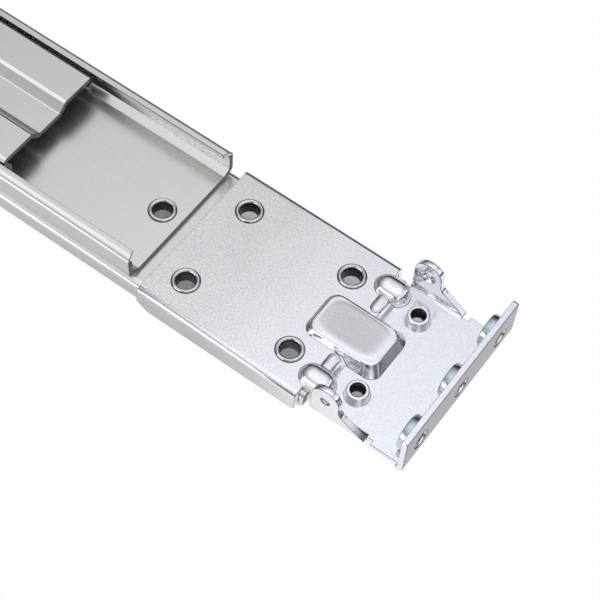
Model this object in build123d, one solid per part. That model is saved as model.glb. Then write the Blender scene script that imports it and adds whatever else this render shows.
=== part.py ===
from build123d import *
import os
from math import cos, radians, sin, tan

# One rail of a sliding server rail pair, lying on its back with its open side up.
# X runs along the rail, towards the riveted bracket's end flange.
# Y runs across it, and Z points out of the open side, towards the server.
# While it is modelled, x = 0 is the end flange's outer face, y = 0 the rail's centre plane
# and z = 0 the underside of the bracket's end plate.
# Each piece is written out with the middle post hole of that flange as the origin.

# Post flange, to the rack's hole spacing
post_pitch = 15.875
post_holes = 3
post_hole_radius = 2.5
post_hole_height = 6.2
post_hole_offset = 1.2
flange_near = 21.0
flange_far = 23.4
flange_height = 13.1
flange_corner = 0.8
nut_radius = 4.3
nut_height = 2.3
nut_chamfer = 0.5

# Bracket sheet
bracket_sheet = 1.5
flange_bend = 2.0
joggle_sharp = 0.5
joggle_soft = 2.0

# End plate between the joggle and the flange
plate_half_width = 20.2
plate_length = 24.35
collar_back = 18.3
collar_half_spacing = 12.0
collar_bore = 1.85
collar_base_radius = 3.0
collar_top_radius = 2.6
collar_height = 2.6
collar_edge = 0.3

# Side ears of the end plate
ear_face = 20.8
ear_back_edge = 24.8
ear_radius = 3.6
ear_centre_height = 8.9
ear_neck_height = 7.2
ear_slope_run = 1.6
ear_slope_height = 5.0
ear_front_edge = 10.7
ear_foot_height = 1.7
ear_hole_radius = 1.2
ear_hole_height = 8.2
ear_dimple_radius = 2.0
ear_root = 16.5
ear_bend = 2.6
relief_width = 1.6
relief_depth = 1.1

# Wrapped tail of the riveted bracket
tail_back = 73.4
tail_front = 28.7
tail_half_width = 21.25
tail_bend = 1.6
tail_flange_reach = 3.7
tail_corner_run = 3.2
tail_corner_rise = 1.9
tail_corner_radius = 1.5
waist_half_width = 18.3

# Raised pad and domes that stiffen the joggle
pad_back = 27.5
pad_offset = -0.3
pad_length = 21.2
pad_width = 14.4
pad_corner = 2.8
pad_draft = 1.5
pad_rise = 1.8
pad_edge = 0.8
dome_back = 27.2
dome_half_spacing = 14.7
dome_length = 9.2
dome_width = 6.7
dome_rise = 2.15
dome_round = 3.0
gusset_back = 27.3
gusset_half_spacing = 9.6
gusset_length = 5.6
gusset_width = 3.2
gusset_rise = 0.65
gusset_round = 1.3
formed_wall = 1.35

# Base channel under the outer rail
base_sheet = 1.5
base_half_width = 19.6
base_bend = 1.8
base_depth = 4.0
base_back = 27.3
base_corner = 2.4
base_reach = 3.4

# Outer rail, the fixed member
outer_sheet = 1.2
outer_length = 560.0
outer_back = 76.6
outer_half_width = 19.4
outer_web_half = 16.4
outer_slant_rise = 1.4
outer_depth = 8.4
outer_shoulder = 1.0
outer_lip = 2.7
outer_bend = 1.35
outer_lip_setback = 1.2

# Eyelets: hollow rivets with a rolled rim
eyelet_rim_radius = 3.5
eyelet_crest_radius = 3.05
eyelet_body_radius = 2.7
eyelet_bore_radius = 2.2
eyelet_rim_height = 0.55
eyelet_throat_depth = 0.6
eyelet_foot_radius = 3.3
eyelet_foot_height = 0.5
eyelet_round = 0.22
bracket_eyelet_back = 36.5
bracket_eyelet_pitch = 29.4
bracket_eyelet_half_spacing = 12.1
eyelet_offset = -0.3
rail_eyelet_back = 82.3
rail_eyelet_pitch = 150.0
rail_eyelet_count = 3
fit_clearance = 0.03
overcut = 1.0

# Server rail, the sliding member
server_sheet = 1.2
server_setback = 39.7
server_half_width = 16.1
server_top = 10.2
server_shoulder_height = 8.0
server_race_half = 15.0
server_foot_height = 4.2
groove_half_floor = 3.6
groove_slope_run = 2.4
groove_depth = 2.1
groove_bend = 1.5
server_hole_radius = 2.25
server_hole_pitch = 190.0
server_hole_count = 3
server_hole_front = 70.0
closing_tab_half_width = 5.0
closing_gap = 0.3
server_travel = 380.0

# Balls and their two cages
ball_radius = 1.55
ball_pitch = 12.0
ball_count = 10
cage_sheet = 0.6
cage_height = 4.0
cage_end = 6.0
cage_ball_clearance = 0.1
cage_end_margin = 10.0
stop_rivet_radius = 1.4
stop_rivet_reach = 1.7
stop_rivet_body_radius = 1.2
stop_rivet_head_radius = 2.0
stop_rivet_head_height = 0.5
stop_rivet_round = 0.3

# Buffer on the outer rail's web, which the server rail's tab meets when it is closed
buffer_length = 4.5
buffer_half_width = 4.0
buffer_height = 0.9
buffer_corner = 1.0
buffer_overhang = 0.1
buffer_stud_radius = 1.2

# Release lever and the tab that it catches
stop_tab_back = 7.0
stop_tab_height = 4.4
stop_tab_width = 4.0
stop_tab_offset = 8.5
stop_window = 4.6
lever_thickness = 2.7
lever_clearance = 0.3
lever_pivot_offset = 10.0
lever_hook_reach = 26.5
lever_reach = 54.0
lever_hub_radius = 3.5
lever_boss_radius = 2.6
lever_arm_width = 5.4
lever_thumb_width = 3.9
lever_thumb_radius = 3.6
lever_side_gap = 0.8
rivet_radius = 1.5
rivet_running_clearance = 0.05
rivet_head_radius = 3.0
rivet_head_height = 0.6
rivet_sink_radius = 2.7
spring_wire = 0.3
spring_pitch = 0.65
spring_turns = 2
spring_anchor_reach = 5.2
spring_hole_radius = 1.3
spring_arm_reach = 7.5
spring_arm_side = 2.2
spring_leg_drop = 0.5

# Depth-adjusting bracket at the other end
front_reach = 33.4
front_travel = 100.0
front_plate_top = 1.1
tongue_length = 190.0
tongue_half_width = 17.4
tongue_drop = 1.1
tongue_corner = 4.0
slot_half_width = 3.08
slot_margin = 0.3
bead_half_spacing = 11.5
bead_width = 3.6
bead_depth = 0.7
slot_rivet_first = 16.0
slot_rivet_pitch = 60.0
slot_rivet_count = 2
shoulder_radius = 3.0
shoulder_head_radius = 5.5
shoulder_head_height = 0.9
shoulder_gap = 0.15
shoulder_top_radius = 4.0
shoulder_top_height = 0.6
shoulder_neck_radius = 2.5
washer_radius = 6.0

# Levels and places that follow from the sizes above
lower_end = (Align.CENTER, Align.CENTER, Align.MIN)
plate_top = bracket_sheet
collar_crest = plate_top + collar_height
joggle_foot = -plate_length - bracket_sheet * tan(radians(22.5))
tail_under = base_sheet
tail_top = tail_under + bracket_sheet
base_top = base_sheet
base_floor = -base_depth
outer_floor = base_top
outer_web_top = outer_floor + outer_sheet
outer_top = outer_floor + outer_depth
outer_lip_under = outer_top - outer_sheet
outer_rear_x = -outer_back
outer_front_x = outer_rear_x - outer_length
server_rear_x = outer_rear_x - server_setback
closing_tab_x = outer_front_x - closing_gap
server_front_x = closing_tab_x - server_sheet
server_under = server_top - server_sheet
groove_top = server_top - groove_depth
groove_under = groove_top - server_sheet
ball_y = (outer_half_width - outer_sheet + server_race_half) / 2
server_race_top = server_shoulder_height - (server_half_width - server_race_half)
server_race_foot = server_foot_height + (server_half_width - server_race_half)
ball_z = (server_race_top + server_race_foot) / 2
front_face_x = outer_front_x - front_reach
base_front_x = outer_front_x - base_reach
tongue_top = -tongue_drop
tongue_floor = tongue_top - bracket_sheet
stop_tab_x = outer_front_x + stop_tab_back
slot_rivet_x = [base_front_x + slot_rivet_first + i * slot_rivet_pitch for i in range(slot_rivet_count)]
rail_eyelet_x = [-rail_eyelet_back - i * rail_eyelet_pitch for i in range(rail_eyelet_count)]
bracket_eyelet_points = [
    (-bracket_eyelet_back - i * bracket_eyelet_pitch, eyelet_offset + side * bracket_eyelet_half_spacing)
    for i in (0, 1)
    for side in (1, -1)
]
server_hole_x = [server_front_x + server_hole_front + i * server_hole_pitch for i in range(server_hole_count)]
cage_start = outer_front_x + cage_end_margin + server_travel / 2
cage_length = 2 * cage_end + (ball_count - 1) * ball_pitch
cage_end_x = cage_start + cage_length
ball_x = [cage_start + cage_end + i * ball_pitch for i in range(ball_count)]
stop_rivet_x = [outer_front_x + cage_end_margin / 2, cage_end_x + cage_end_margin / 2]
buffer_middle_x = outer_front_x - buffer_overhang + buffer_length / 2
post_hole_y = [post_hole_offset + (i - (post_holes - 1) / 2) * post_pitch for i in range(post_holes)]


def sheet_section(corners, bends, thickness, side):
    """Section of a bent sheet: one face's corners, the bend radii there, and the wall beside it."""
    line = FilletPolyline(*corners, radius=bends)
    outline = Wire(line.edges()).offset_2d(thickness, Kind.INTERSECTION, side, True)
    return make_face(outline.edges())


def along_x(section, start, length):
    """Extrude a (y, z) section along X from a start."""
    return extrude(Plane((start, 0, 0), x_dir=(0, 1, 0), z_dir=(1, 0, 0)) * section, length)


def across_y(outline, half_width):
    """Extrude an (x, z) outline to both sides of the centre plane."""
    return extrude(Plane.XZ * outline, half_width, both=True)


def peg(x, y, low, high, radius):
    """Upright cylinder between two levels."""
    return Pos(x, y, low) * Cylinder(radius, high - low, align=lower_end)


def block(x_low, x_high, y_low, y_high, z_low, z_high):
    """Box between two corners."""
    centre = ((x_low + x_high) / 2, (y_low + y_high) / 2, (z_low + z_high) / 2)
    return Pos(*centre) * Box(x_high - x_low, y_high - y_low, z_high - z_low)


def mirrored_path(half):
    """Whole path from the half on the +Y side, which starts beside the centre plane."""
    return [(-y, z) for y, z in reversed(half)] + half


def raised(outline, low, high, round_top):
    """Upright form on an (x, y) outline, with a rounded top edge."""
    form = extrude(Pos(0, 0, low) * outline, high - low)
    return fillet(form.faces().sort_by(Axis.Z)[-1].edges(), round_top)


def outer_rail():
    """C channel with slanted corners, straight walls and lips over the balls."""
    half = [
        (outer_web_half, outer_floor),
        (outer_half_width, outer_floor + outer_slant_rise),
        (outer_half_width, outer_top - outer_shoulder),
        (outer_half_width - outer_shoulder, outer_top),
        (outer_half_width - outer_lip, outer_top),
    ]
    section = sheet_section(mirrored_path(half), outer_bend, outer_sheet, Side.LEFT)
    rail = along_x(section, outer_front_x, outer_length)
    for x in rail_eyelet_x:
        rail -= peg(x, eyelet_offset, outer_floor, outer_web_top, eyelet_body_radius + fit_clearance)
    for x in slot_rivet_x:
        rail -= peg(x, 0, outer_floor, outer_web_top, shoulder_neck_radius + fit_clearance)
    for side in (1, -1):
        for end, inward in ((outer_rear_x, -1), (outer_front_x, 1)):
            rail -= lip_end_cut(end, inward, side)
        for x in stop_rivet_x:
            rail -= stop_rivet(x, side, fit_clearance)
    rail -= peg(buffer_middle_x, 0, outer_floor, outer_web_top, buffer_stud_radius + fit_clearance)
    return rail - stop_window_cut() + stop_tab()


def lip_end_cut(end, inward, side):
    """Corner cut at a lip's end: nothing at the wall, the full setback at the lip's edge."""
    edge = side * (outer_half_width - outer_lip - outer_sheet)
    corners = [(end, side * outer_half_width), (end, edge), (end + inward * outer_lip_setback, edge)]
    outline = make_face(Polyline(*corners, close=True))
    return extrude(Pos(0, 0, outer_lip_under - outer_sheet / 2) * outline, 2 * outer_sheet)


def stop_window_cut():
    """Opening that the stop tab was cut and bent up from."""
    y_high = stop_tab_offset + stop_tab_width
    return block(stop_tab_x - stop_window, stop_tab_x, stop_tab_offset, y_high, outer_floor, outer_web_top)


def stop_tab():
    """Tab bent up from the web, which the lever's hook meets when the rail is pulled out."""
    top = outer_web_top + stop_tab_height
    y_high = stop_tab_offset + stop_tab_width
    tab = block(stop_tab_x, stop_tab_x + outer_sheet, stop_tab_offset, y_high, outer_floor, top)
    corners = tab.edges().filter_by(Axis.X).group_by(Axis.Z)[-1]
    return fillet(corners, stop_tab_width / 4)


def base_channel():
    """Shallow channel, flanges down, that carries the outer rail and both brackets."""
    half = [(base_half_width, base_top), (base_half_width, base_floor)]
    section = sheet_section(mirrored_path(half), base_bend, base_sheet, Side.RIGHT)
    length = -base_back - base_front_x
    channel = along_x(section, base_front_x, length)
    foot_level = base_floor + base_sheet / 4
    corners = [edge for edge in channel.edges().filter_by(Axis.Y) if edge.center().Z < foot_level]
    channel = fillet(corners, base_corner)
    for x, y in bracket_eyelet_points + [(x, eyelet_offset) for x in rail_eyelet_x]:
        channel -= peg(x, y, 0, base_top, eyelet_body_radius + fit_clearance)
    for x in slot_rivet_x:
        channel -= peg(x, 0, 0, base_top, shoulder_neck_radius + fit_clearance)
    return channel


def end_strip(tail_x, tail_level):
    """Strip bent into tail, joggle, end plate and flange, cut to the plate's plan."""
    joggle_head = joggle_foot - tail_level
    corners = [
        (tail_x, tail_level),
        (joggle_head, tail_level),
        (joggle_foot, 0),
        (0, 0),
        (0, flange_height),
    ]
    bends = [joggle_sharp, joggle_soft, flange_bend]
    strip = across_y(sheet_section(corners, bends, bracket_sheet, Side.LEFT), flange_far)
    return strip & extrude(Pos(0, 0, -2 * flange_height) * plate_plan(tail_x), 4 * flange_height)


def plate_plan(tail_x):
    """Plan of the joggle, the end plate and the longer flange, with a relief beside each ear."""
    relief_back = -ear_front_edge
    relief_front = relief_back + relief_width
    far = [
        (tail_x, waist_half_width),
        (relief_back, waist_half_width),
        (relief_back, plate_half_width - relief_depth),
        (relief_front, plate_half_width - relief_depth),
        (relief_front, plate_half_width),
        (-flange_bend, plate_half_width),
    ]
    near = [(x, -y) for x, y in reversed(far)]
    flange = [(-flange_bend, flange_far), (0, flange_far), (0, -flange_near), (-flange_bend, -flange_near)]
    return make_face(Polyline(*far, *flange, *near, close=True))


def ear(side):
    """Upright ear bent from the end plate's edge, with a pivot hole and a sloping foot."""
    corners = [(ear_root, 0), (ear_face, 0), (ear_face, 2 * flange_height)]
    section = sheet_section(corners, ear_bend, bracket_sheet, Side.LEFT)
    blank = along_x(section, -ear_back_edge, ear_back_edge - ear_front_edge)
    centre = -ear_back_edge + ear_radius
    neck = centre + ear_radius
    back_shoulder = (-ear_back_edge, ear_centre_height)
    crown = (centre, ear_centre_height + ear_radius)
    front_shoulder = (neck, ear_centre_height)
    slope_top = (neck + ear_slope_run, ear_slope_height)
    lines = [
        Line((-ear_back_edge, 0), back_shoulder),
        ThreePointArc(back_shoulder, crown, front_shoulder),
        Line(front_shoulder, (neck, ear_neck_height)),
        TangentArc((neck, ear_neck_height), slope_top, tangent=(0, -1)),
        Line(slope_top, (-ear_front_edge, ear_foot_height)),
        Line((-ear_front_edge, ear_foot_height), (-ear_front_edge, 0)),
        Line((-ear_front_edge, 0), (-ear_back_edge, 0)),
    ]
    shape = blank & across_y(make_face(lines), flange_far)
    hole_x = centre
    hole = Pos(hole_x, ear_face - bracket_sheet / 2, ear_hole_height) * Rot(90, 0, 0)
    shape -= hole * Cylinder(ear_hole_radius, 2 * bracket_sheet)
    dimple_depth = ear_dimple_radius - ear_hole_radius
    inner_face = Pos(hole_x, ear_face - bracket_sheet, ear_hole_height) * Rot(-90, 0, 0)
    shape -= inner_face * Cone(
        ear_dimple_radius, ear_hole_radius, dimple_depth, align=lower_end
    )
    return shape if side > 0 else mirror(shape, about=Plane.XZ)


def collar(side):
    """Extruded collar round a hole in the end plate."""
    y = side * collar_half_spacing
    form = Pos(-collar_back, y, 0) * Cone(
        collar_base_radius,
        collar_top_radius,
        collar_crest,
        align=lower_end,
    )
    return fillet(form.edges().group_by(Axis.Z)[-1], collar_edge)


def end_plate(tail_x, tail_level):
    """Strip with its ears, collars and bolt holes."""
    body = end_strip(tail_x, tail_level)
    for side in (1, -1):
        body += ear(side)
        body += collar(side)
    for side in (1, -1):
        body -= peg(-collar_back, side * collar_half_spacing, -overcut, collar_crest + overcut, collar_bore)
    return bored_flange(body)


def bored_flange(body):
    """Round the post flange's free corners and bore its holes."""
    corners = [
        edge
        for edge in body.edges().filter_by(Axis.X)
        if edge.center().Z > flange_height - bracket_sheet / 4 and edge.center().X > -bracket_sheet
    ]
    body = fillet(corners, flange_corner)
    for y in post_hole_y:
        body -= Pos(0, y, post_hole_height) * Rot(0, 90, 0) * Cylinder(post_hole_radius, 4 * bracket_sheet)
    return body


def pad_form(shrink, low, high):
    """Tapered pad between two levels; shrink is the wall taken off its plan."""
    slope = pad_draft / (tail_top + pad_rise - plate_top)
    top_level = tail_top + pad_rise
    sections = []
    for level in (low, high):
        inset = pad_draft - slope * (top_level - level) + shrink
        size = (pad_length - 2 * inset, pad_width - 2 * inset)
        corner = pad_corner - shrink / 2
        sections.append(Pos(-pad_back, pad_offset, level) * RectangleRounded(*size, corner))
    return loft(Sketch() + sections)


def stiffened(body):
    """Raise the pad, the domes and the gussets over the joggle, hollow from below."""
    top = tail_top + pad_rise
    pad = pad_form(0, plate_top / 2, top)
    body += fillet(pad.faces().sort_by(Axis.Z)[-1].edges(), pad_edge)
    for side in (1, -1):
        dome_at = Pos(-dome_back, side * dome_half_spacing, 0)
        dome = SlotOverall(dome_length, dome_width)
        body += dome_at * raised(dome, plate_top / 2, tail_top + dome_rise, dome_round)
        gusset_at = Pos(-gusset_back, side * gusset_half_spacing, 0)
        gusset = Rot(0, 0, 90) * SlotOverall(gusset_length, gusset_width)
        body += gusset_at * raised(gusset, plate_top, tail_top + gusset_rise, gusset_round)
    under = [
        (-tail_back, tail_under),
        (joggle_foot - tail_under, tail_under),
        (joggle_foot, 0),
        (joggle_foot, -base_depth),
        (-tail_back, -base_depth),
    ]
    body -= across_y(make_face(Polyline(*under, close=True)), waist_half_width)
    body -= pad_form(formed_wall, -overcut, top - bracket_sheet)
    for side in (1, -1):
        dome_at = Pos(-dome_back, side * dome_half_spacing, 0)
        hollow = SlotOverall(dome_length - 2 * formed_wall, dome_width - 2 * formed_wall)
        ceiling = tail_top + dome_rise - bracket_sheet
        body -= dome_at * raised(hollow, -overcut, ceiling, dome_round - formed_wall)
    return body


def tail():
    """Plate over the base channel with a flange down each side."""
    half = [(tail_half_width, tail_top), (tail_half_width, -tail_flange_reach)]
    section = sheet_section(mirrored_path(half), tail_bend, bracket_sheet, Side.RIGHT)
    channel = along_x(section, -tail_back, tail_back - tail_front)
    low = -tail_flange_reach
    cut_high = (-tail_back, low + tail_corner_rise)
    cut_low = (-tail_back + tail_corner_run, low)
    arc_low = (-tail_front - tail_corner_radius, low)
    arc_high = (-tail_front, low + tail_corner_radius)
    side_view = [
        Line((-tail_back, tail_top), cut_high),
        Line(cut_high, cut_low),
        Line(cut_low, arc_low),
        RadiusArc(arc_low, arc_high, -tail_corner_radius),
        Line(arc_high, (-tail_front, tail_top)),
        Line((-tail_front, tail_top), (-tail_back, tail_top)),
    ]
    return channel & across_y(make_face(side_view), tail_half_width + overcut)


def rear_bracket():
    """Bracket in the photograph: a wrapped tail, a joggle and the post flange, from one sheet."""
    body = end_plate(-tail_front - 2 * bracket_sheet, tail_under) + tail()
    body = stiffened(body)
    for x, y in bracket_eyelet_points:
        body -= peg(x, y, tail_under - overcut, tail_top + overcut, eyelet_body_radius + fit_clearance)
    return body


def front_slot_span():
    """Ends of the tongue's slot, measured back from the front face, for both rivets and the travel."""
    reach = slot_half_width + slot_margin
    first = slot_rivet_x[0] - front_face_x - reach
    last = slot_rivet_x[-1] - front_face_x + front_travel + reach
    return first, last


def front_bracket():
    """Depth-adjusting bracket: a slotted tongue inside the base channel and a flange turned away."""
    step = front_plate_top - tongue_top
    root = plate_length + 3 * bracket_sheet
    head = bored_flange(end_strip(-root, step))
    body = Pos(front_face_x, 0, front_plate_top) * mirror(mirror(head, about=Plane.XY), about=Plane.YZ)
    end = root + tongue_length
    middle = front_face_x + (root + end) / 2
    tongue = Pos(middle, 0, tongue_floor) * Rectangle(tongue_length, 2 * tongue_half_width)
    tongue = extrude(tongue, bracket_sheet)
    body += fillet(tongue.edges().filter_by(Axis.Z).group_by(Axis.X)[-1], tongue_corner)
    first, last = front_slot_span()
    slot = SlotOverall(last - first, 2 * slot_half_width)
    slot_at = Pos(front_face_x + (first + last) / 2, 0, tongue_floor - overcut)
    body -= slot_at * extrude(slot, bracket_sheet + 2 * overcut)
    bead_length = tongue_length - 4 * tongue_corner
    for side in (1, -1):
        place = Pos(middle, side * bead_half_spacing, tongue_floor - bead_depth)
        bead = extrude(SlotOverall(bead_length, bead_width), bead_depth)
        body += place * chamfer(bead.faces().sort_by(Axis.Z)[0].edges(), bead_depth / 2)
        recess = extrude(SlotOverall(bead_length - bead_width / 2, bead_width / 2), bead_depth)
        body -= place * Pos(0, 0, bracket_sheet) * recess
    return body


def clinch_nuts(face_x, outward, height):
    """Round nuts on the flange's inner face, one behind each post hole."""
    start = bracket_sheet
    nuts = []
    for y in post_hole_y:
        disc = Cylinder(nut_radius, nut_height, align=lower_end)
        disc = chamfer(disc.edges().group_by(Axis.Z)[-1], nut_chamfer)
        disc -= Cylinder(post_hole_radius, 3 * nut_height)
        nuts.append(Pos(face_x - outward * start, y, height) * Rot(0, -90 * outward, 0) * disc)
    return nuts


def eyelet(x, y, seat, foot):
    """Hollow rivet: a rolled rim with a flared throat, a tube through the sheets and a rolled foot."""
    crest = seat + eyelet_rim_height
    throat = seat - eyelet_throat_depth
    end = foot - eyelet_foot_height
    outline = [
        Line((eyelet_bore_radius, end), (eyelet_foot_radius, end)),
        Line((eyelet_foot_radius, end), (eyelet_foot_radius, foot)),
        Line((eyelet_foot_radius, foot), (eyelet_body_radius, foot)),
        Line((eyelet_body_radius, foot), (eyelet_body_radius, seat)),
        Line((eyelet_body_radius, seat), (eyelet_rim_radius, seat)),
        TangentArc((eyelet_rim_radius, seat), (eyelet_crest_radius, crest), tangent=(0, 1)),
        TangentArc((eyelet_bore_radius, throat), (eyelet_crest_radius, crest), tangent=(0, 1)),
        Line((eyelet_bore_radius, throat), (eyelet_bore_radius, end)),
    ]
    turned = revolve(Plane.XZ * make_face(outline), Axis.Z)
    foot_edges = turned.edges().filter_by(GeomType.CIRCLE).group_by(Axis.Z)[0]
    return Pos(x, y, 0) * fillet(foot_edges, eyelet_round)


def slot_rivet(x):
    """Shouldered rivet: head on the outer rail's web, shoulder through the tongue's slot."""
    head_top = tongue_floor - shoulder_gap
    head = peg(x, 0, head_top - shoulder_head_height, head_top, shoulder_head_radius)
    head = chamfer(head.edges().group_by(Axis.Z)[0], shoulder_head_height / 3)
    top = peg(x, 0, outer_web_top, outer_web_top + shoulder_top_height, shoulder_top_radius)
    top = fillet(top.edges().group_by(Axis.Z)[-1], shoulder_top_height * 3 / 4)
    shoulder = peg(x, 0, head_top, 0, shoulder_radius)
    neck = peg(x, 0, 0, outer_web_top, shoulder_neck_radius)
    return head + shoulder + neck + top


def slot_washer(x):
    """Plain spacing washer between the base channel and the tongue."""
    low = tongue_top + shoulder_gap
    return peg(x, 0, low, 0, washer_radius) - peg(x, 0, low, 0, shoulder_radius + fit_clearance)


def server_rail():
    """Hat section with a screw groove along its middle and a ball race down each side."""
    half = [
        (groove_half_floor, groove_top),
        (groove_half_floor + groove_slope_run, server_top),
        (server_half_width, server_top),
        (server_half_width, server_shoulder_height),
        (server_race_half, server_race_top),
        (server_race_half, server_race_foot),
        (server_half_width, server_foot_height),
    ]
    convex = server_sheet + server_sheet / 20
    concave = server_sheet / 3
    bends = [concave, groove_bend, convex, convex, concave, concave]
    section = sheet_section(mirrored_path(half), bends[::-1] + bends, server_sheet, Side.RIGHT)
    rail = along_x(section, server_front_x, server_rear_x - server_front_x)
    rail += closing_tab()
    for x in server_hole_x:
        rail -= peg(x, 0, groove_under - overcut, groove_top + overcut, server_hole_radius)
    hole = peg(*spring_anchor(), server_under - overcut, server_top + overcut, spring_hole_radius)
    return rail - lever_rivet_shape(fit_clearance) - hole


def closing_tab():
    """Tab bent down from the groove's floor, which stops the rail at the outer rail's end."""
    low = outer_floor + outer_sheet / 3
    half_width = closing_tab_half_width
    tab = block(server_front_x, closing_tab_x, -half_width, half_width, low, groove_top)
    return fillet(tab.edges().filter_by(Axis.X).group_by(Axis.Z)[0], closing_tab_half_width / 3)


def stop_rivet(x, side, grow):
    """Rivet through the outer rail's wall that keeps a cage in its race; grow widens its body."""
    wall = outer_half_width - outer_sheet
    spans = [
        (stop_rivet_radius, wall - stop_rivet_reach, wall),
        (stop_rivet_body_radius + grow, wall, outer_half_width),
        (stop_rivet_head_radius, outer_half_width, outer_half_width + stop_rivet_head_height),
    ]
    turned = [Pos(0, 0, low) * Cylinder(r, high - low, align=lower_end) for r, low, high in spans]
    turned[0] = fillet(turned[0].edges().group_by(Axis.Z)[0], stop_rivet_round)
    turned[2] = fillet(turned[2].edges().group_by(Axis.Z)[-1], stop_rivet_round)
    return Pos(x, 0, ball_z) * Rot(-90 * side, 0, 0) * (turned[0] + turned[1] + turned[2])


def closing_buffer():
    """Flat nylon buffer with a stud through the outer rail's web."""
    pad = Pos(buffer_middle_x, 0, outer_web_top) * Rectangle(buffer_length, 2 * buffer_half_width)
    pad = extrude(pad, buffer_height)
    pad = fillet(pad.edges().filter_by(Axis.Z), buffer_corner)
    return pad + peg(buffer_middle_x, 0, outer_floor, outer_web_top, buffer_stud_radius)


def ball_cage(side):
    """Strip that keeps the balls spaced, with a hole for each."""
    strip = block(
        cage_start,
        cage_end_x,
        side * ball_y - cage_sheet / 2,
        side * ball_y + cage_sheet / 2,
        ball_z - cage_height / 2,
        ball_z + cage_height / 2,
    )
    strip = fillet(strip.edges().filter_by(Axis.Y), cage_height / 4)
    for x in ball_x:
        strip -= Pos(x, side * ball_y, ball_z) * Rot(90, 0, 0) * Cylinder(
            ball_radius + cage_ball_clearance, 3 * cage_sheet
        )
    return strip


def lever_pivot_x():
    """Pivot's place at rest: the hook meets the stop tab at full travel."""
    hook_face = stop_tab_x + outer_sheet + lever_clearance + server_travel
    return hook_face + lever_hook_reach


def lever_low():
    """Underside of the lever, clear of the rivet heads on the outer rail's web."""
    return outer_web_top + shoulder_top_height + 2 * lever_clearance


def release_lever():
    """Flat lever with a hub, a hook that catches the stop tab and a thumb end."""
    x = lever_pivot_x()
    low = lever_low()
    hook_x = x - lever_hook_reach
    tip_x = x - lever_reach
    hook_high = stop_tab_offset + stop_tab_width - lever_pivot_offset
    arm_low = hook_high - lever_arm_width
    thumb_high = stop_tab_offset - lever_side_gap
    thumb_low = thumb_high - lever_thumb_width
    y = lever_pivot_offset
    arm = Polyline(
        (x, y - lever_hub_radius),
        (x, y + lever_hub_radius),
        (hook_x, y + hook_high),
        (hook_x, thumb_high),
        (tip_x, thumb_high),
        (tip_x, thumb_low),
        (hook_x + lever_thumb_width, thumb_low),
        (hook_x + 2 * lever_arm_width, y + arm_low),
        close=True,
    )
    plan = make_face(arm) + Pos(x, y) * Circle(lever_hub_radius)
    plan += Pos(tip_x, thumb_high - lever_thumb_radius) * Circle(lever_thumb_radius)
    lever = extrude(Pos(0, 0, low) * plan, lever_thickness)
    lever += peg(x, y, low, server_under - lever_clearance, lever_boss_radius)
    lever -= peg(*spring_arm(), low, low + 2 * lever_thickness, spring_wire + fit_clearance)
    return lever - peg(x, y, low - overcut, server_top, rivet_radius + rivet_running_clearance)


def lever_rivet_shape(grow):
    """Rivet of the lever's pivot, flush with the server rail's top face; grow widens it."""
    x = lever_pivot_x()
    y = lever_pivot_offset
    sink = Pos(x, y, server_under) * Cone(
        rivet_radius + grow, rivet_sink_radius + grow, server_sheet, align=lower_end
    )
    low = lever_low() - lever_clearance / 2
    return peg(x, y, low, server_under, rivet_radius + grow) + sink


def lever_rivet():
    """The pivot rivet with its formed head under the lever."""
    low = lever_low() - lever_clearance / 2
    head = peg(lever_pivot_x(), lever_pivot_offset, low - rivet_head_height, low, rivet_head_radius)
    head = fillet(head.edges().group_by(Axis.Z)[0], rivet_head_height * 3 / 4)
    return lever_rivet_shape(0) + head


def spring_anchor():
    """Place of the hole in the server rail that holds the spring's fixed end."""
    return lever_pivot_x() + spring_anchor_reach, lever_pivot_offset


def spring_arm():
    """Place of the hole in the lever that holds the spring's moving end."""
    return lever_pivot_x() - spring_arm_reach, lever_pivot_offset - spring_arm_side


def wire(*points):
    """Straight lengths of spring wire with round corners between them."""
    form = Pos(*points[0]) * Sphere(spring_wire)
    for first, last in zip(points, points[1:]):
        leg = Line(first, last)
        form += sweep(Plane(origin=leg @ 0, z_dir=leg % 0) * Circle(spring_wire), path=leg)
        form += Pos(*last) * Sphere(spring_wire)
    return form


def lever_spring():
    """Torsion spring round the lever's hub: one end in the server rail, one in the lever."""
    x = lever_pivot_x()
    y = lever_pivot_offset
    low = lever_low() + lever_thickness + lever_clearance + spring_wire
    ring = lever_boss_radius + lever_clearance / 2 + spring_wire
    path = Helix(spring_pitch, spring_turns * spring_pitch, ring)
    coil = sweep(Plane(origin=path @ 0, z_dir=path % 0) * Circle(spring_wire), path=path, is_frenet=True)
    high = low + spring_turns * spring_pitch
    anchor_x, anchor_y = spring_anchor()
    form = Pos(x, y, low) * coil
    anchor_end = server_top - spring_wire
    form += wire((x + ring, y, high), (anchor_x, anchor_y, high), (anchor_x, anchor_y, anchor_end))
    arm_x, arm_y = spring_arm()
    foot = lever_low() + lever_thickness / 3
    bend_y = y - ring - spring_leg_drop
    form += wire((x + ring, y, low), (x + ring, bend_y, low), (arm_x, arm_y, low), (arm_x, arm_y, foot))
    return form


def write(node, shape):
    """Write one node with the middle post hole as the origin."""
    solids = shape if isinstance(shape, list) else [shape]
    place = Pos(0, -post_hole_offset, -post_hole_height)
    moved = [place * solid for solid in solids]
    whole = Compound(children=moved) if len(moved) > 1 else moved[0]
    export_step(whole, os.path.join("parts", node + ".step"))


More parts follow.
